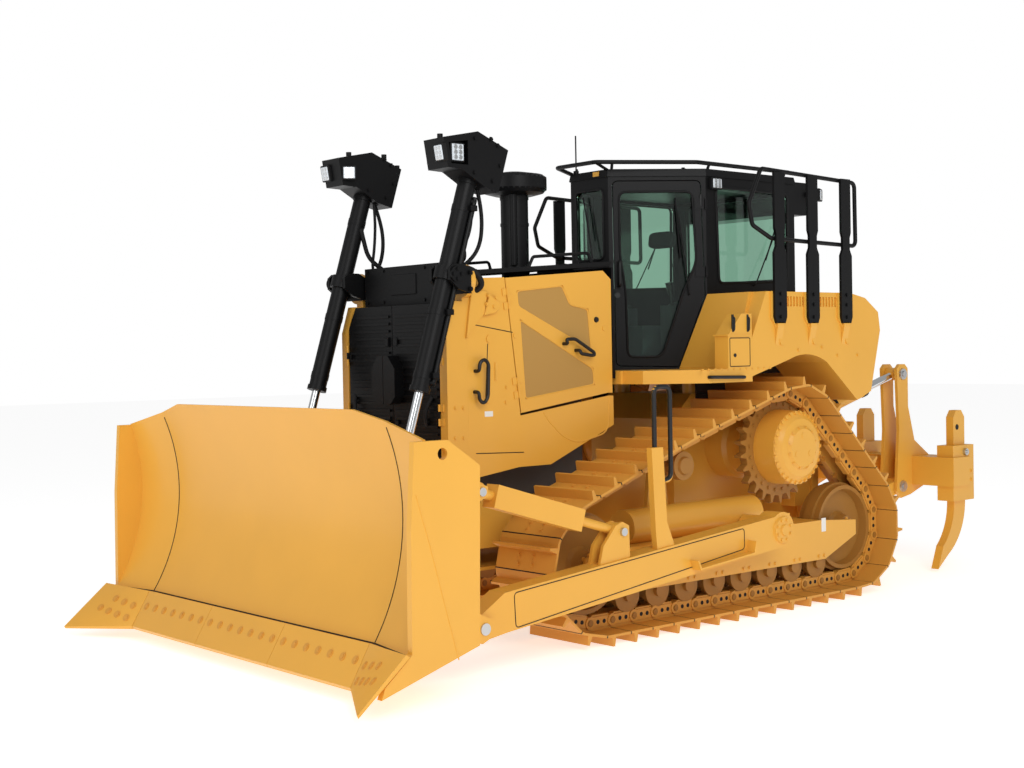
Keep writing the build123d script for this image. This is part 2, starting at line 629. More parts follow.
# ----------------------------------------------------------------- lift cylinders
CHEEK_IN = 90
CHEEK_OUT = 118
BOSS_HIGH = 14            # cap over the trunnion on each outer cheek
TRUNNION_R = 30
COLLAR_R = 84
OIL_TUBE_R = 14
OIL_TUBE_OFF = 59         # behind the barrel's axis and outside it
lift_run = hypot(LIFT_EYE[0] - LIFT_PIVOT[0], LIFT_EYE[1] - LIFT_PIVOT[1])
LIFT_DIR = ((LIFT_EYE[0] - LIFT_PIVOT[0]) / lift_run, (LIFT_EYE[1] - LIFT_PIVOT[1]) / lift_run)
BARREL_BELOW = 835
BARREL_ABOVE = 735
LIFT_STROKE_ROD = 1710


def lift_at(distance, y=LIFT_Y):
    """A place on the lift cylinder's axis, measured down from its trunnion."""
    return at(LIFT_PIVOT[0] + LIFT_DIR[0] * distance, y, LIFT_PIVOT[1] + LIFT_DIR[1] * distance)


with BuildPart() as lift_yokes:
    round_bar(at(2861, LIFT_Y, EAR_Z), at(2902, LIFT_Y, EAR_Z), STUB_R)
    block((2902, 2930), (LIFT_Y - CHEEK_OUT, LIFT_Y + CHEEK_OUT), (2470, 2640))
    for y in (LIFT_Y - CHEEK_OUT, LIFT_Y + CHEEK_IN):
        plate(((2902, 2470), (3010, 2500), (3085, 2560), (3085, 2640), (3050, 2670), (2960, 2670),
               (2902, 2640)), y, y + CHEEK_OUT - CHEEK_IN)
    cross_pin(LIFT_PIVOT, 56, LIFT_Y + CHEEK_OUT - 1, LIFT_Y + CHEEK_OUT + BOSS_HIGH)
    cross_pin(LIFT_PIVOT, TRUNNION_R + PIN_FIT, LIFT_Y - CHEEK_OUT, LIFT_Y + CHEEK_OUT + 1,
              Mode.SUBTRACT)
    both_sides()
save(lift_yokes, "lift_yokes")

LAMP_BOX_HALF = 112
for name, sign in (("left", 1), ("right", -1)):
    with BuildPart() as barrel:
        round_bar(lift_at(-BARREL_ABOVE), lift_at(BARREL_BELOW), BARREL_R)
        round_bar(lift_at(-BARREL_ABOVE + 30), lift_at(BARREL_BELOW), BARREL_BORE, Mode.SUBTRACT)
        round_bar(lift_at(BARREL_BELOW - 60), lift_at(BARREL_BELOW), BARREL_BORE)
        round_bar(lift_at(BARREL_BELOW - 60), lift_at(BARREL_BELOW), ROD_R + PIN_FIT, Mode.SUBTRACT)
        with BuildSketch(Plane(origin=lift_at(-45), z_dir=lift_at(1) - lift_at(0))) as collar:
            Circle(COLLAR_R)
            Circle(BARREL_R - 1, mode=Mode.SUBTRACT)
        extrude(collar.sketch, amount=90)
        cross_pin(LIFT_PIVOT, TRUNNION_R, LIFT_Y + 75, LIFT_Y + CHEEK_OUT)
        cross_pin(LIFT_PIVOT, TRUNNION_R, LIFT_Y - CHEEK_OUT, LIFT_Y - 75)
        # oil tube beside the barrel, with a port block at each end
        aside = Vector(LIFT_DIR[1], 0, -LIFT_DIR[0]) * OIL_TUBE_OFF + Vector(0, OIL_TUBE_OFF, 0)
        round_bar(lift_at(-560) + aside, lift_at(775) + aside, OIL_TUBE_R)
        for along in (-545, 760):
            round_bar(lift_at(along) + aside * 0.7, lift_at(along) + aside * 1.1, 20)
        if sign < 0:
            to_right()
    save(barrel, f"lift_barrel_{name}")

    with BuildPart() as lamp_box:
        plate(((3115, 3524), (2815, 3586), (2545, 3476), (2640, 3176), (2760, 3205),
               (2960, 3318), (3080, 3322)), LIFT_Y - LAMP_BOX_HALF, LIFT_Y + LAMP_BOX_HALF)
        # recess of the side lamp
        plate(((2905, 3350), (3050, 3350), (3072, 3492), (2905, 3518)),
              LIFT_Y + LAMP_BOX_HALF - 70, LIFT_Y + LAMP_BOX_HALF, Mode.SUBTRACT)
        round_bar(lift_at(-BARREL_ABOVE - FIT), lift_at(0), BARREL_R + FIT, Mode.SUBTRACT)
        if sign < 0:
            to_right()
    save(lamp_box, f"lamp_box_{name}")

    with BuildPart() as rod:
        eye = lift_run
        round_bar(lift_at(eye - LIFT_STROKE_ROD), lift_at(eye - LIFT_STROKE_ROD + 50),
                  BARREL_BORE - FIT)
        round_bar(lift_at(eye - LIFT_STROKE_ROD + 50), lift_at(eye - 50), ROD_R)
        cross_pin(LIFT_EYE, 62, LIFT_Y - 42, LIFT_Y + 42)
        if sign < 0:
            to_right()
    save(rod, f"lift_rod_{name}")

# -------------------------------------------------------------------------- cab
COWL_Z = 2745             # top of the box that joins the hood to the windscreen
COWL_Y = SCREEN_Y - 3
FIREWALL = 25
CAB_CEILING_Z = CAB_ROOF_Z - 60
CAB_PLAN = ((CAB_BACK_X, -CAB_Y), (DOOR_END_X, -CAB_Y), (SCREEN_X, -SCREEN_Y),
            (SCREEN_X, SCREEN_Y), (DOOR_END_X, CAB_Y), (CAB_BACK_X, CAB_Y))
# outlines seen square to their walls: the doorway and its window are drawn in the
# distance along the slanted wall from the windscreen and in height
DOORWAY = ((40, 1935), (32, 3412), (750, 3412), (776, 2491), (557, 1918))
DOOR_WINDOW = ((88, 3321), (678, 3321), (704, 2758), (595, 2519), (415, 2007), (138, 2007),
               (130, 2522), (88, 2830))
REAR_WINDOW = ((310, 3360), (-590, 3355), (-575, 2620), (285, 2590))
SCREEN = ((-160, 2790), (160, 2790), (163, 3350), (-163, 3350))
BACK_WINDOW = ((-540, 2640), (540, 2640), (540, 3350), (-540, 3350))
DOOR_GAP = 8


def window_sketch(plane, points, inset=0):
    """A window outline with rounded corners, drawn smaller by an inset."""
    with BuildSketch(plane) as pane:
        with BuildLine():
            Polyline(*points, close=True)
        make_face()
        fillet(pane.vertices(), 45)
        if inset:
            offset(amount=-inset)
    return pane.sketch


def door_plane(depth=0):
    """The slanted wall's outer face on the left, or a plane inside it; x runs rearward."""
    start = at(SCREEN_X, SCREEN_Y, 0)
    run = at(DOOR_END_X, CAB_Y, 0) - start
    return Plane(origin=start, x_dir=run, z_dir=run.cross(Vector(0, 0, 1))).offset(-depth)


def door_wall_at(along, out, z):
    """A place by distance along the slanted wall, distance outside it and height."""
    plane = door_plane()
    return plane.origin + plane.x_dir * along + plane.y_dir * z + plane.z_dir * out


with BuildPart() as cab_shell:
    slab(CAB_PLAN, CAB_FLOOR_Z, CAB_ROOF_Z)
    with BuildSketch(level(CAB_FLOOR_Z + 60)) as inside:
        with BuildLine():
            Polyline(*CAB_PLAN, close=True)
        make_face()
        offset(amount=-CAB_WALL, kind=Kind.INTERSECTION)
    extrude(inside.sketch, amount=CAB_CEILING_Z - CAB_FLOOR_Z - 60, mode=Mode.SUBTRACT)
    # cowl and firewall that close the back of the hood
    block((SCREEN_X - 1, DOOR_POST_X - FIT), (-COWL_Y, COWL_Y), (CAB_FLOOR_Z, COWL_Z))
    block((DOOR_POST_X - FIREWALL, DOOR_POST_X - FIT), (-HOOD_Y, HOOD_Y), (CAB_FLOOR_Z, 2690))
    block((SCREEN_X - CAB_WALL - 1, DOOR_POST_X - FIREWALL), (-COWL_Y + 50, COWL_Y - 50),
          (CAB_FLOOR_Z + 60, COWL_Z - 45), Mode.SUBTRACT)
    extrude(window_sketch(door_plane(-5), DOORWAY), amount=-CAB_WALL - 10, mode=Mode.SUBTRACT)
    extrude(window_sketch(side(CAB_Y + 5), REAR_WINDOW), amount=CAB_WALL + 10, mode=Mode.SUBTRACT)
    split(bisect_by=Plane.XZ, keep=Keep.BOTTOM)
    both_sides()
    extrude(window_sketch(front(SCREEN_X - CAB_WALL - 5), SCREEN), amount=CAB_WALL + 10,
            mode=Mode.SUBTRACT)
    extrude(window_sketch(front(CAB_BACK_X - 5), BACK_WINDOW), amount=CAB_WALL + 10,
            mode=Mode.SUBTRACT)
save(cab_shell, "cab_shell")

ROOF_LIP = 12
ROOF_HIGH = 60
RAIL_Z = 3548
RAIL_R = 17
AERIAL_TOP_Z = 3820
# half of the handrail round the roof, from the rear
HALF_RAIL = ((CAB_BACK_X + 40, CAB_Y - 30), (DOOR_END_X + 90, CAB_Y - 5),
             (SCREEN_X + 142, SCREEN_Y + 6))
RAIL_FEET = ((CAB_BACK_X + 80, CAB_Y - 30), (DOOR_END_X - 60, CAB_Y - 10),
             (SCREEN_X - 60, SCREEN_Y - 10))
with BuildPart() as cab_roof:
    with BuildSketch(level(CAB_ROOF_Z)) as plan:
        with BuildLine():
            Polyline(*CAB_PLAN, close=True)
        make_face()
        offset(amount=ROOF_LIP, kind=Kind.INTERSECTION)
    extrude(plan.sketch, amount=ROOF_HIGH, taper=12)
    left_half = [at(x, y, RAIL_Z) for x, y in HALF_RAIL]
    right_half = [at(x, -y, RAIL_Z) for x, y in reversed(HALF_RAIL)]
    bent_tube(left_half + right_half, RAIL_R, 60)
    for x, y in RAIL_FEET:
        for foot_y in (-y, y):
            round_bar(at(x, foot_y * 0.96, CAB_ROOF_Z + ROOF_HIGH - 8), at(x, foot_y, RAIL_Z), 12)
    for y in (-SCREEN_Y, SCREEN_Y):
        round_bar(at(SCREEN_X - 30, y * 0.9, CAB_ROOF_Z + ROOF_HIGH - 8),
                  at(SCREEN_X + 136, y, RAIL_Z), 12)
    # whip aerial on its base
    aerial_foot = at(SCREEN_X - 45, 20 - SCREEN_Y, CAB_ROOF_Z + ROOF_HIGH - 5)
    round_bar(aerial_foot, aerial_foot + Vector(0, 0, 35), 22)
    round_bar(aerial_foot, aerial_foot + Vector(0, 0, AERIAL_TOP_Z - CAB_ROOF_Z - ROOF_HIGH + 5), 6)
save(cab_roof, "cab_roof")

with BuildPart() as cab_glass:
    extrude(window_sketch(side(CAB_Y - 20), REAR_WINDOW, FIT), amount=GLASS)
    both_sides()
    extrude(window_sketch(front(SCREEN_X - 20 - GLASS), SCREEN, FIT), amount=GLASS)
    extrude(window_sketch(front(CAB_BACK_X + 20), BACK_WINDOW, FIT), amount=GLASS)
save(cab_glass, "cab_glass")

DOOR_RUN = hypot(SCREEN_X - DOOR_END_X, CAB_Y - SCREEN_Y)
HINGE_ALONG = DOOR_RUN - 4
HINGE_OUT = 12
for name, sign in (("left", 1), ("right", -1)):
    with BuildPart() as cab_door:
        extrude(window_sketch(door_plane(), DOORWAY, DOOR_GAP), amount=-DOOR_THICK)
        extrude(window_sketch(door_plane(), DOOR_WINDOW), amount=-DOOR_THICK, mode=Mode.SUBTRACT)
        for z in (2640, 3180):
            round_bar(door_wall_at(HINGE_ALONG, HINGE_OUT, z),
                      door_wall_at(HINGE_ALONG, HINGE_OUT, z + 80), HINGE_OUT - 1)
            leaf = ((HINGE_ALONG, z), (HINGE_ALONG, z + 80), (HINGE_ALONG - 90, z + 80),
                    (HINGE_ALONG - 90, z))
            prism(door_plane(-6), leaf, FIT - 6)
        if sign < 0:
            to_right()
    save(cab_door, f"cab_door_{name}")

    with BuildPart() as door_glass:
        extrude(window_sketch(door_plane(18), DOOR_WINDOW, FIT), amount=-GLASS)
        if sign < 0:
            to_right()
    save(door_glass, f"door_glass_{name}")

SEAT_X = 300
with BuildPart() as operator_seat:
    plate(((SEAT_X - 40, 2260 + FIT), (SEAT_X + 480, 2260 + FIT), (SEAT_X + 490, 2380),
           (SEAT_X + 90, 2360), (SEAT_X - 30, 3060), (SEAT_X - 130, 3050)), -250, 250)
save(operator_seat, "operator_seat")
with BuildPart() as control_consoles:
    block((SEAT_X - 60, SEAT_X + 280), (300, 480), (CAB_FLOOR_Z + 60, 2420))
    both_sides()
    block((SEAT_X, SEAT_X + 420), (-230, 230), (CAB_FLOOR_Z + 60, 2260))
    block((1200, DOOR_POST_X - FIREWALL), (-COWL_Y + 60, COWL_Y - 60), (CAB_FLOOR_Z + 60, 2600))
save(control_consoles, "control_consoles")

with BuildPart() as rear_cab_unit:
    block((CAB_BACK_X - 262, CAB_BACK_X - ROOF_LIP - FIT), (-600, 600), (3200, 3480))
    block((CAB_BACK_X - 60, CAB_BACK_X - FIT), (-600, 600), (3200, CAB_ROOF_Z - FIT))
save(rear_cab_unit, "rear_cab_unit")

# ---------------------------------------------------------------------- fenders
FENDER_IN_Y = CAB_Y + FIT
FENDER_TOP_Z = 2500
WALL_X = 560              # front edge of the outer side wall
BOX_IN_Y = FENDER_Y - 135     # inner face of the tool boxes
POST_MIDDLES = (246, -164, -592)
POST_Y = FENDER_Y + 12
POST_THICK = 22
SLOT_COUNT = 6
SLOT_STEP = 38
LANDING_IN_Y = 222
FENDER_ARCH = ((-361, 1938), (-759, 1617), (-946, 1686), (-1083, 2194), (-1058, 2345),
               (-881, 2461), (-678, FENDER_TOP_Z))


def fender_body(front_edge, y_low, y_high):
    """The fender's side view, closed by its front edge and the arch over the sprocket."""
    with BuildSketch(side(y_high)) as body:
        with BuildLine():
            Polyline(*FENDER_ARCH, *front_edge, (106, 1970))
            ThreePointArc((106, 1970), (-120, 2004), FENDER_ARCH[0])
        make_face()
    extrude(body.sketch, amount=y_high - y_low)


with BuildPart() as fenders:
    fender_body(((385, FENDER_TOP_Z), (WALL_X, 2140), (WALL_X, 1845)), BOX_IN_Y, FENDER_Y)
    fender_body(((DOOR_END_X, FENDER_TOP_Z), (619, 1918), (619, DECK_Z - 20), (WALL_X, 1845)),
                540, BOX_IN_Y)
    slab(((WALL_X - 1, 540), (SCREEN_X, LANDING_IN_Y), (DOOR_POST_X - FIREWALL - 6, LANDING_IN_Y),
          (DOOR_POST_X - FIREWALL - 6, 690), (1400, 690), (1400, 902), (1050, FENDER_Y),
          (WALL_X - 1, FENDER_Y)), DECK_Z - DECK_DEEP, DECK_Z)
    # the cab stands in the fenders with a thin gap all round
    with BuildSketch(level(CAB_FLOOR_Z - 400)) as cab_room:
        with BuildLine():
            Polyline(*CAB_PLAN, close=True)
        make_face()
        offset(amount=FIT, kind=Kind.INTERSECTION)
    extrude(cab_room.sketch, amount=1500, mode=Mode.SUBTRACT)
    for x in POST_MIDDLES:
        plate(((x - 95, FENDER_TOP_Z), (x - 95, 2290), (x - 60, 2251), (x - 60, 2083), (x - 20, 2083),
               (x + 60, 2251), (x + 95, 2290), (x + 95, FENDER_TOP_Z)), FENDER_Y, POST_Y)
    # slots beside the guard posts
    for x in POST_MIDDLES[:2]:
        for i in range(SLOT_COUNT):
            slot_x = x - 112 - i * SLOT_STEP
            block((slot_x - 22, slot_x), (FENDER_Y - 14, FENDER_Y), (2385, 2462), Mode.SUBTRACT)
    both_sides()
    # tank between the fenders, behind the cab
    plate(((CAB_BACK_X - FIT, 1800), (-946, 1720), (-1083, 2194), (-1058, 2345), (-881, 2461),
           (CAB_BACK_X - FIT, FENDER_TOP_Z)), -FENDER_IN_Y, FENDER_IN_Y)
save(fenders, "fenders")

with BuildPart() as tool_boxes:
    plate(((WALL_X + FIT, DECK_Z), (834, DECK_Z), (834, 2160), (WALL_X + 120, 2325),
           (WALL_X + FIT, 2325)), BOX_IN_Y + FIT, FENDER_Y)
    block((WALL_X + 20, 846), (BOX_IN_Y - 8, FENDER_Y + 6), (2155, 2167))
    both_sides()
save(tool_boxes, "tool_boxes")

GUARD_R = 17
WAIST_Z = 2898
# the guard rail's loop round the posts, from the first post's waist forward and back
GUARD_LOOP = ((255, WAIST_Z + 12), (316, WAIST_Z + 16), (531, 3006), (570, 3168), (423, 3445),
              (-757, 3405), (-763, WAIST_Z - 11), (215, WAIST_Z + 10))
with BuildPart() as guard_posts:
    for x in POST_MIDDLES:
        plate(((x - 72, 2300), (x - 52, 2251), (x + 52, 2251), (x + 72, 2300), (x + 72, 2800),
               (x + 46, 2850), (x + 46, 2946), (x + 62, 2990), (x + 62, 3425), (x - 62, 3425),
               (x - 62, 2990), (x - 46, 2946), (x - 46, 2850), (x - 72, 2800)),
              POST_Y, POST_Y + POST_THICK)
    rail_y = POST_Y - GUARD_R + 1
    bent_tube([at(x, rail_y, z) for x, z in GUARD_LOOP], GUARD_R, 45)
    both_sides()
save(guard_posts, "guard_posts")

# ------------------------------------------------------------------------ blade
TOP = (4156, 1728)
BELLY = (3998, 1085)
TOE = (4231, 331)
LIP = (4331, 172)
EDGE_LOW = (4388, 82)
EDGE_THICK = 32
WING_FORWARD = 85
SHOULDER_Y = 1122
SIDE_TOP_Z = 1557
WING_END_Y = BLADE_HALF - SIDE_PLATE


def board_section(y, forward):
    """The curved board cut across at y, moved forward."""
    with BuildSketch(side(y)) as section:
        with BuildLine():
            face = ThreePointArc((TOP[0] + forward, TOP[1]), (BELLY[0] + forward, BELLY[1]),
                                 (TOE[0] + forward, TOE[1]))
            back = ThreePointArc((TOP[0] + forward - BOARD, TOP[1]),
                                 (BELLY[0] + forward - BOARD, BELLY[1]),
                                 (TOE[0] + forward - BOARD, TOE[1] - 14))
            lip = (LIP[0] + forward, LIP[1])
            heel = (LIP[0] + forward - BOARD, LIP[1] - 14)
            Polyline(face @ 1, lip, heel, back @ 1)
            Line(face @ 0, back @ 0)
        make_face()
    return section.sketch


with BuildPart() as moldboard:
    extrude(board_section(SEAM_Y, 0), amount=2 * SEAM_Y)
    for sign in (1, -1):
        loft([board_section(sign * SEAM_Y, 0), board_section(sign * WING_END_Y, WING_FORWARD)],
             ruled=True)
    for sign in (1, -1):
        wall(((sign * SHOULDER_Y, TOP[1]), (sign * BLADE_HALF, SIDE_TOP_Z),
              (sign * BLADE_HALF, TOP[1] + 50), (sign * SHOULDER_Y, TOP[1] + 50)),
             BELLY[0] - 100, TIP_X, Mode.SUBTRACT)
save(moldboard, "moldboard")

LIFTING_HOLE = (4056, 1482)
LIFTING_R = 35
with BuildPart() as blade_side_plates:
    plate(((4257, SIDE_TOP_Z + 3), (4015, SIDE_TOP_Z + 3), (3780, 1399), (3805, 336), (4514, 128),
           (4488, 196), (4298, 352), (4290, 1055)), WING_END_Y, BLADE_HALF)
    cross_pin(LIFTING_HOLE, LIFTING_R, WING_END_Y, BLADE_HALF, Mode.SUBTRACT)
    both_sides()
save(blade_side_plates, "blade_side_plates")

EDGE_SECTION = (TOE, (TOE[0] + 27, TOE[1] + 17), (EDGE_LOW[0] + 14, EDGE_LOW[1] + 24), EDGE_LOW)
BIT_END = ((4333, 349), (4360, 366), (TIP_X, 80), (TIP_X - 10, 64))
BIT_END_Y = 1927


def edge_sketch(y, points):
    """A straight-edged section of a cutting edge at y."""
    with BuildSketch(side(y)) as section:
        with BuildLine():
            Polyline(*points, close=True)
        make_face()
    return section.sketch


with BuildPart() as cutting_edges:
    for i in (-1, 0, 1):
        middle = i * SEAM_Y * 2 / 3
        plate(EDGE_SECTION, middle - SEAM_Y / 3 + 2, middle + SEAM_Y / 3 - 2)
    bit_start = [(x + 1, z) for x, z in EDGE_SECTION]
    for sign in (1, -1):
        loft([edge_sketch(sign * (SEAM_Y + 2), bit_start), edge_sketch(sign * BIT_END_Y, BIT_END)],
             ruled=True)
save(cutting_edges, "cutting_edges")

ARM_EYE_R = 85
ARM_PIN_R = 38
BRACE_PIN = (3429, 1189)
BRACE_FOOT = (2196, 822)
BRACE_Y = (ARM_IN_Y + ARM_OUT_Y - 1) / 2
BRACE_PIN_R = 28
EYE_HALF = 36             # half the width of a brace eye
with BuildPart() as blade_frame:
    plate(((3800, 330), (3800, 620), (4300, 760), (4300, 200), (4260, 240)), -WING_END_Y, WING_END_Y)
    plate(((3940, 1290), (3960, 1440), (4200, 1440), (4200, 1290)), -1600, 1600)
    for y in (90, 560, 1000, 1300):
        plate(((3800, 600), (3945, 1300), (4200, 1300), (4200, 600)), y, y + 30)
    for y in (ARM_IN_Y - 35, ARM_OUT_Y + 5):
        plate(((3810, 620), (3480, 425), (3385, 385), (3385, 285), (3480, 245), (3810, 320)),
              y, y + 30)
    for y in (BRACE_Y - EYE_HALF - FIT - 30, BRACE_Y + EYE_HALF + FIT):
        plate(((4010, 1330), (3440, 1240), (3380, 1220), (3380, 1158), (3440, 1135), (4010, 960)),
              y, y + 30)
    for y in (LIFT_Y - 42 - FIT - 30, LIFT_Y + 42 + FIT):
        plate(((4100, 930), (3600, 860), (3530, 820), (3530, 760), (3600, 720), (4100, 640)),
              y, y + 30)
    cross_pin(ARM_PIN, ARM_PIN_R + PIN_FIT, 0, BLADE_HALF, Mode.SUBTRACT)
    cross_pin(BRACE_PIN, BRACE_PIN_R + PIN_FIT, 0, BLADE_HALF, Mode.SUBTRACT)
    both_sides()
    # the curve of the board's back
    with BuildSketch(side(WING_END_Y)) as clear:
        with BuildLine():
            back = ThreePointArc((TOP[0] - BOARD, TOP[1]), (BELLY[0] - BOARD, BELLY[1]),
                                 (TOE[0] - BOARD, TOE[1] - 14))
            Polyline(back @ 1, (LIP[0] - BOARD, LIP[1] - 14), (4800, LIP[1] - 14), (4800, TOP[1]),
                     back @ 0)
        make_face()
    extrude(clear.sketch, amount=2 * WING_END_Y, mode=Mode.SUBTRACT)
save(blade_frame, "blade_frame")

ARM_BACK = ((431, 801), (437, 559))
ARM_FRONT = ((3247, 281), (3266, 536))
def arm_top(x):
    """Height of the push arm's top edge."""
    share = (x - ARM_BACK[0][0]) / (ARM_FRONT[1][0] - ARM_BACK[0][0])
    return ARM_BACK[0][1] + share * (ARM_FRONT[1][1] - ARM_BACK[0][1])


with BuildPart() as push_arms:
    plate((ARM_BACK[0], ARM_BACK[1], ARM_FRONT[0], (ARM_PIN[0], ARM_PIN[1] - ARM_EYE_R),
           (ARM_PIN[0] + 60, ARM_PIN[1]), (ARM_PIN[0], ARM_PIN[1] + ARM_EYE_R), ARM_FRONT[1]),
          ARM_IN_Y, ARM_OUT_Y)
    cross_pin(TRUNNION, 135, ARM_IN_Y, ARM_OUT_Y)
    cross_pin(TRUNNION, 70 + PIN_FIT, ARM_IN_Y, ARM_OUT_Y, Mode.SUBTRACT)
    cross_pin(ARM_PIN, ARM_EYE_R, ARM_IN_Y, ARM_OUT_Y)
    cross_pin(ARM_PIN, ARM_PIN_R + PIN_FIT, ARM_IN_Y, ARM_OUT_Y, Mode.SUBTRACT)
    # ears for the brace's rear pin
    for y in (BRACE_Y - EYE_HALF - FIT - 25, BRACE_Y + EYE_HALF + FIT):
        plate(((2130, arm_top(2130) - 20), (2420, arm_top(2420) - 20), (2380, 740), (2260, 870),
               (2196, 890), (2135, 860)), y, y + 25)
    cross_pin(BRACE_FOOT, BRACE_PIN_R + PIN_FIT, 0, BLADE_HALF, Mode.SUBTRACT)
    # step
    plate(((905, 640), (930, 545), (1520, 490), (1548, 560), (1535, 562), (1510, 505), (940, 557),
           (920, 640)), ARM_OUT_Y - 5, ARM_OUT_Y + 80)
    both_sides()
save(push_arms, "push_arms")

with BuildPart() as arm_pins:
    cross_pin(ARM_PIN, ARM_PIN_R, ARM_IN_Y - 44, ARM_OUT_Y + 44)
    cross_pin(BRACE_PIN, BRACE_PIN_R, BRACE_Y - 80, BRACE_Y + 80)
    cross_pin(BRACE_FOOT, BRACE_PIN_R, BRACE_Y - 82, BRACE_Y + 82)
    both_sides()
save(arm_pins, "arm_pins")


def brace_at(distance, y=BRACE_Y):
    run = dist(BRACE_PIN, BRACE_FOOT)
    return at(BRACE_PIN[0] + (BRACE_FOOT[0] - BRACE_PIN[0]) * distance / run, y,
              BRACE_PIN[1] + (BRACE_FOOT[1] - BRACE_PIN[1]) * distance / run)


BRACE_RUN = dist(BRACE_PIN, BRACE_FOOT)


def brace_eyes():
    """Eyes and thin ends that a brace or a tilt cylinder shares."""
    round_bar(brace_at(20), brace_at(BRACE_RUN - 20), EYE_HALF - 4)
    for pin in (BRACE_PIN, BRACE_FOOT):
        cross_pin(pin, 60, BRACE_Y - EYE_HALF, BRACE_Y + EYE_HALF)
        cross_pin(pin, BRACE_PIN_R + PIN_FIT, BRACE_Y - EYE_HALF, BRACE_Y + EYE_HALF, Mode.SUBTRACT)


with BuildPart() as blade_braces:
    # a tilt cylinder on the right, a plain brace on the left
    round_bar(brace_at(300), brace_at(BRACE_RUN - 270), 85)
    brace_eyes()
    to_right()
    tube_plane = Plane(origin=brace_at(130), x_dir=(0, 1, 0), z_dir=brace_at(1) - brace_at(0))
    with BuildSketch(tube_plane) as tube:
        Rectangle(120, 150)
    extrude(tube.sketch, amount=780)
    brace_eyes()
save(blade_braces, "blade_braces")

POST_Y_IN = ARM_OUT_Y - 65
POST_Y_OUT = ARM_OUT_Y - 15
with BuildPart() as grab_posts:
    plate(((1690, arm_top(1690)), (1862, arm_top(1862)), (1875, 800), (1904, 1378), (1790, 1378),
           (1760, 850)), POST_Y_IN, POST_Y_OUT)
    loop_y = (POST_Y_IN + POST_Y_OUT) / 2
    bent_tube((at(1850, loop_y, 1370), at(1850, loop_y, 1800), at(1690, loop_y, 1800),
               at(1690, loop_y, 1140), at(1800, loop_y, 1140)), 15, 40)
    both_sides()
save(grab_posts, "grab_posts")

# ----------------------------------------------------------------------- ripper
with BuildPart() as ripper_bracket:
    plate(((-640, 480), (-640 - FIT, 1650), (-960, 1650), (-1000, 1200), (-1000, 480)),
          0, CASE_Y)
    for y in (TOWER_Y - TOWER_GAP / 2 - TOWER_PLATE, TOWER_Y + TOWER_GAP / 2):
        plate(((-900, 460), (-1150, 460), (-1215, 540), (-1150, 620), (-980, 700), (-980, 1380),
               (-1150, 1420), (-1215, 1500), (-1150, 1580), (-900, 1620)), y, y + TOWER_PLATE)
    block((-1000, -700), (CASE_Y, TOWER_Y + TOWER_GAP / 2), (700, 1380))
    # pocket of the lift cylinder
    block((-1010, -850), (RIPPER_LIFT_Y - 92, RIPPER_LIFT_Y + 92), (1100, 1660), Mode.SUBTRACT)
    for y in (RIPPER_LIFT_Y - EYE_HALF - FIT - 25, RIPPER_LIFT_Y + EYE_HALF + FIT):
        plate(((-845, 1300), (-925, 1325), (-975, 1380), (-925, 1435), (-845, 1460)), y, y + 25)
    both_sides()
    for pin in (LINK_PIVOT, TILT_PIVOT):
        cross_pin(pin, RIPPER_PIN_R + PIN_FIT, -800, 800, Mode.SUBTRACT)
    cross_pin(RIPPER_LIFT_PIVOT, RIPPER_LIFT_PIN_R + PIN_FIT, -400, 400, Mode.SUBTRACT)
save(ripper_bracket, "ripper_bracket")

with BuildPart() as ripper_link:
    inner = TOWER_Y - TOWER_GAP / 2 + 3
    outer = TOWER_Y + TOWER_GAP / 2 - 3
    angle = atan2(CARRIAGE_PIVOT[1] - LINK_PIVOT[1], CARRIAGE_PIVOT[0] - LINK_PIVOT[0])
    rise = (-60 * sin(angle), 60 * cos(angle))
    plate(((LINK_PIVOT[0] + rise[0], LINK_PIVOT[1] + rise[1]),
           (LINK_PIVOT[0] - rise[0], LINK_PIVOT[1] - rise[1]),
           (CARRIAGE_PIVOT[0] - rise[0], CARRIAGE_PIVOT[1] - rise[1]),
           (CARRIAGE_PIVOT[0] + rise[0], CARRIAGE_PIVOT[1] + rise[1])), inner, outer)
    for pin in (LINK_PIVOT, CARRIAGE_PIVOT):
        cross_pin(pin, 70, inner, outer)
        cross_pin(pin, RIPPER_PIN_R, inner - TOWER_PLATE, outer + TOWER_PLATE)
    both_sides()
    plate(((-1290, 500), (-1290, 640), (-1420, 660), (-1420, 530)), -inner, inner)
save(ripper_link, "ripper_link")

with BuildPart() as ripper_carriage:
    for y in (TOWER_Y - TOWER_GAP / 2 - TOWER_PLATE, TOWER_Y + TOWER_GAP / 2):
        plate(((-2155, 1850), (-2180, 1284), (-2130, 720), (-2200, 655), (-2350, 680),
               (-2652, 780), (-2652, 1030), (-2420, 1180), (-2325, 1500), (-2325, 1850),
               (-2280, 1890), (-2200, 1890)), y, y + TOWER_PLATE)
    block((-2657, -2374), (0, 1105), (769, 1032))
    block((-2400, -2320), (0, TOWER_Y), (850, 1000))
    for y in (RIPPER_LIFT_Y - EYE_HALF - FIT - 25, RIPPER_LIFT_Y + EYE_HALF + FIT):
        plate(((-2380, 860), (-1950, 965), (-1886, 1017), (-1950, 1069), (-2380, 1000)), y, y + 25)
    both_sides()
    for y in (-SHANK_Y, 0, SHANK_Y):
        block((-2733, -2400), (y - 85, y + 85), (633, 1139))
        block((SHANK_X - SHANK_HALF - FIT, SHANK_X + SHANK_HALF + FIT),
              (y - SHANK_THICK / 2 - FIT, y + SHANK_THICK / 2 + FIT), (600, 1200), Mode.SUBTRACT)
    cross_pin(CARRIAGE_PIVOT, RIPPER_PIN_R + PIN_FIT, -800, 800, Mode.SUBTRACT)
save(ripper_carriage, "ripper_carriage")

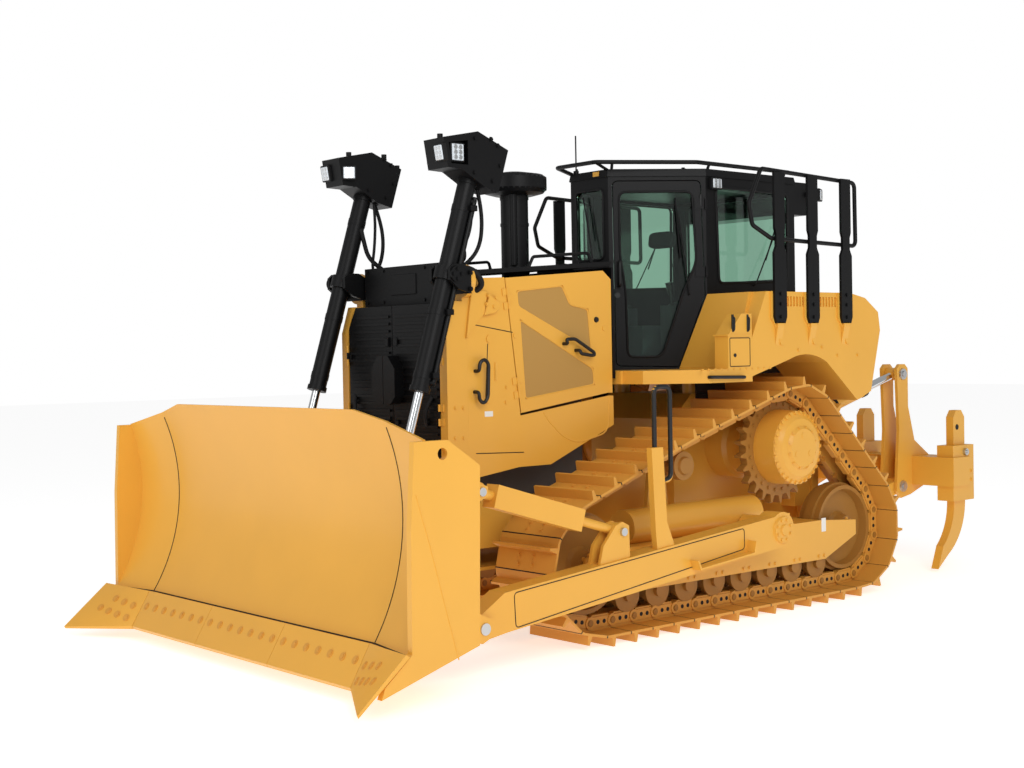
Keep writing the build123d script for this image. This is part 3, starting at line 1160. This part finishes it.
with BuildPart() as ripper_shanks:
    for y in (-SHANK_Y, 0, SHANK_Y):
        with BuildSketch(side(y + SHANK_THICK / 2)) as shank:
            with BuildLine():
                Polyline((SHANK_X + SHANK_HALF, 640), (SHANK_X + SHANK_HALF, 1395),
                         (SHANK_X + 40, 1459), (SHANK_X - 40, 1459),
                         (SHANK_X - SHANK_HALF, 1395), (SHANK_X - SHANK_HALF, 640))
                ThreePointArc((SHANK_X - SHANK_HALF, 640), (-2610, 400), (-2380, 150))
                Polyline((-2380, 150), (-2215, 30), (-2300, 230))
                ThreePointArc((-2300, 230), (-2440, 420), (SHANK_X + SHANK_HALF, 640))
            make_face()
        extrude(shank.sketch, amount=SHANK_THICK)
save(ripper_shanks, "ripper_shanks")

TILT_LEN = dist(TILT_PIVOT, TOWER_PIN)


def tilt_at(distance, y=TOWER_Y):
    return at(TILT_PIVOT[0] + (TOWER_PIN[0] - TILT_PIVOT[0]) * distance / TILT_LEN, y,
              TILT_PIVOT[1] + (TOWER_PIN[1] - TILT_PIVOT[1]) * distance / TILT_LEN)


with BuildPart() as ripper_tilt_cylinders:
    eye_half = TOWER_GAP / 2 - 3
    cross_pin(TILT_PIVOT, 60, TOWER_Y - eye_half, TOWER_Y + eye_half)
    cross_pin(TILT_PIVOT, RIPPER_PIN_R, TOWER_Y - TOWER_GAP / 2 - TOWER_PLATE,
              TOWER_Y + TOWER_GAP / 2 + TOWER_PLATE)
    round_bar(tilt_at(30), tilt_at(640), 60)
    round_bar(tilt_at(640), tilt_at(TILT_LEN - 40), 33)
    cross_pin(TOWER_PIN, 58, TOWER_Y - eye_half, TOWER_Y + eye_half)
    both_sides()
save(ripper_tilt_cylinders, "ripper_tilt_cylinders")

LIFT_LEN = dist(RIPPER_LIFT_PIVOT, LIFT_EAR)
RIPPER_BARREL = 700
RIPPER_ROD = 690


def ripper_lift_at(distance, y=RIPPER_LIFT_Y):
    return at(RIPPER_LIFT_PIVOT[0] + (LIFT_EAR[0] - RIPPER_LIFT_PIVOT[0]) * distance / LIFT_LEN, y,
              RIPPER_LIFT_PIVOT[1] + (LIFT_EAR[1] - RIPPER_LIFT_PIVOT[1]) * distance / LIFT_LEN)


with BuildPart() as ripper_lift_barrels:
    cross_pin(RIPPER_LIFT_PIVOT, 50, RIPPER_LIFT_Y - EYE_HALF, RIPPER_LIFT_Y + EYE_HALF)
    cross_pin(RIPPER_LIFT_PIVOT, RIPPER_LIFT_PIN_R, RIPPER_LIFT_Y - 62, RIPPER_LIFT_Y + 62)
    round_bar(ripper_lift_at(20), ripper_lift_at(100), 34)
    round_bar(ripper_lift_at(95), ripper_lift_at(RIPPER_BARREL), 62)
    round_bar(ripper_lift_at(112), ripper_lift_at(RIPPER_BARREL - 35), 50, Mode.SUBTRACT)
    round_bar(ripper_lift_at(RIPPER_BARREL - 60), ripper_lift_at(RIPPER_BARREL), 30 + PIN_FIT,
              Mode.SUBTRACT)
    both_sides()
save(ripper_lift_barrels, "ripper_lift_barrels")

with BuildPart() as ripper_lift_rods:
    round_bar(ripper_lift_at(LIFT_LEN - RIPPER_ROD), ripper_lift_at(LIFT_LEN - RIPPER_ROD + 30),
              50 - FIT)
    round_bar(ripper_lift_at(LIFT_LEN - RIPPER_ROD + 30), ripper_lift_at(LIFT_LEN - 30), 30)
    cross_pin(LIFT_EAR, 48, RIPPER_LIFT_Y - EYE_HALF, RIPPER_LIFT_Y + EYE_HALF)
    both_sides()
save(ripper_lift_rods, "ripper_lift_rods")
